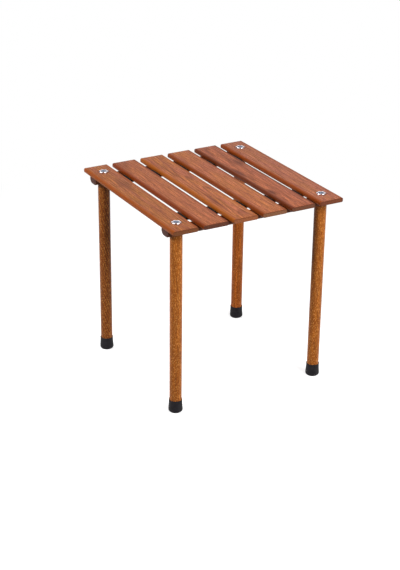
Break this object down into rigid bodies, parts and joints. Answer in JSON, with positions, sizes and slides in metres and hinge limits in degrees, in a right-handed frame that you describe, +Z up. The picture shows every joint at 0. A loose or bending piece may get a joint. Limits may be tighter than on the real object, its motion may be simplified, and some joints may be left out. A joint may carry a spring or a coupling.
{
  "type": "roll-top camping table",
  "caption": "Small square wooden camping table with a slatted top that rolls up on webbing straps, cross rails and screw-in round legs with rubber feet.",
  "frame": {"origin": "on the floor under the middle of the table top, the bottom centre of the bounding box", "axes": "+Z up; +X along the rails, from slat 1 to slat 6; +Y along the slats, from front to back"},
  "size_m": [0.39, 0.4, 0.4175],
  "materials": {
    "slat_wood": "oiled reddish hardwood",
    "rail_wood": "oiled dark hardwood",
    "leg_wood": "varnished golden hardwood dowel",
    "foot_rubber": "moulded matte rubber",
    "bright_zinc": "bright zinc plated steel",
    "stud_steel": "zinc plated steel thread",
    "staple_steel": "galvanised wire",
    "webbing_black": "woven black webbing"
  },
  "bodies": {
    "top_1": {"slat_1": "slat_wood", "webbing_front_1": "webbing_black", "staple_front_1": "staple_steel", "webbing_back_1": "webbing_black", "staple_back_1": "staple_steel", "tee_nut_front_left": "bright_zinc", "tee_nut_back_left": "bright_zinc"},
    "top_2": {"slat_2": "slat_wood", "webbing_front_2": "webbing_black", "staple_front_2": "staple_steel", "webbing_back_2": "webbing_black", "staple_back_2": "staple_steel"},
    "top_3": {"slat_3": "slat_wood", "webbing_front_3": "webbing_black", "staple_front_3": "staple_steel", "webbing_back_3": "webbing_black", "staple_back_3": "staple_steel"},
    "top_4": {"slat_4": "slat_wood", "webbing_front_4": "webbing_black", "staple_front_4": "staple_steel", "webbing_back_4": "webbing_black", "staple_back_4": "staple_steel"},
    "top_5": {"slat_5": "slat_wood", "webbing_front_5": "webbing_black", "staple_front_5": "staple_steel", "webbing_back_5": "webbing_black", "staple_back_5": "staple_steel"},
    "top_6": {"slat_6": "slat_wood", "webbing_front_6": "webbing_black", "staple_front_6": "staple_steel", "webbing_back_6": "webbing_black", "staple_back_6": "staple_steel", "tee_nut_front_right": "bright_zinc", "tee_nut_back_right": "bright_zinc"},
    "rail_front": {"rail_front": "rail_wood"},
    "rail_back": {"rail_back": "rail_wood"},
    "leg_front_left": {"leg_front_left": "leg_wood", "leg_stud_front_left": "stud_steel", "foot_front_left": "foot_rubber"},
    "leg_front_right": {"leg_front_right": "leg_wood", "leg_stud_front_right": "stud_steel", "foot_front_right": "foot_rubber"},
    "leg_back_left": {"leg_back_left": "leg_wood", "leg_stud_back_left": "stud_steel", "foot_back_left": "foot_rubber"},
    "leg_back_right": {"leg_back_right": "leg_wood", "leg_stud_back_right": "stud_steel", "foot_back_right": "foot_rubber"}
  },
  "joints": [
    {"name": "roll_1", "type": "hinge", "parent": "top_1", "child": "top_2", "pos_m": [-0.134, 0, 0.4048], "axis": [0, -1, 0], "range_deg": [0, 60]},
    {"name": "roll_2", "type": "hinge", "parent": "top_2", "child": "top_3", "pos_m": [-0.067, 0, 0.4048], "axis": [0, -1, 0], "range_deg": [0, 60]},
    {"name": "roll_3", "type": "hinge", "parent": "top_3", "child": "top_4", "pos_m": [0, 0, 0.4048], "axis": [0, -1, 0], "range_deg": [0, 60]},
    {"name": "roll_4", "type": "hinge", "parent": "top_4", "child": "top_5", "pos_m": [0.067, 0, 0.4048], "axis": [0, -1, 0], "range_deg": [0, 60]},
    {"name": "roll_5", "type": "hinge", "parent": "top_5", "child": "top_6", "pos_m": [0.134, 0, 0.4048], "axis": [0, -1, 0], "range_deg": [0, 60]},
    {"name": "rail_front_drop", "type": "slide", "parent": "top_1", "child": "rail_front", "axis": [0, 0, -1], "range_m": [0, 0.04]},
    {"name": "rail_back_drop", "type": "slide", "parent": "top_1", "child": "rail_back", "axis": [0, 0, -1], "range_m": [0, 0.04]},
    {"name": "leg_front_left_unscrew", "type": "slide", "parent": "rail_front", "child": "leg_front_left", "axis": [0, 0, -1], "range_m": [0, 0.03]},
    {"name": "leg_front_right_unscrew", "type": "slide", "parent": "rail_front", "child": "leg_front_right", "axis": [0, 0, -1], "range_m": [0, 0.03]},
    {"name": "leg_back_left_unscrew", "type": "slide", "parent": "rail_back", "child": "leg_back_left", "axis": [0, 0, -1], "range_m": [0, 0.03]},
    {"name": "leg_back_right_unscrew", "type": "slide", "parent": "rail_back", "child": "leg_back_right", "axis": [0, 0, -1], "range_m": [0, 0.03]}
  ],
  "couplings": [
    {"joint": "roll_2", "follows": "roll_1", "ratio": 1},
    {"joint": "roll_3", "follows": "roll_1", "ratio": 1},
    {"joint": "roll_4", "follows": "roll_1", "ratio": 1},
    {"joint": "roll_5", "follows": "roll_1", "ratio": 1}
  ]
}
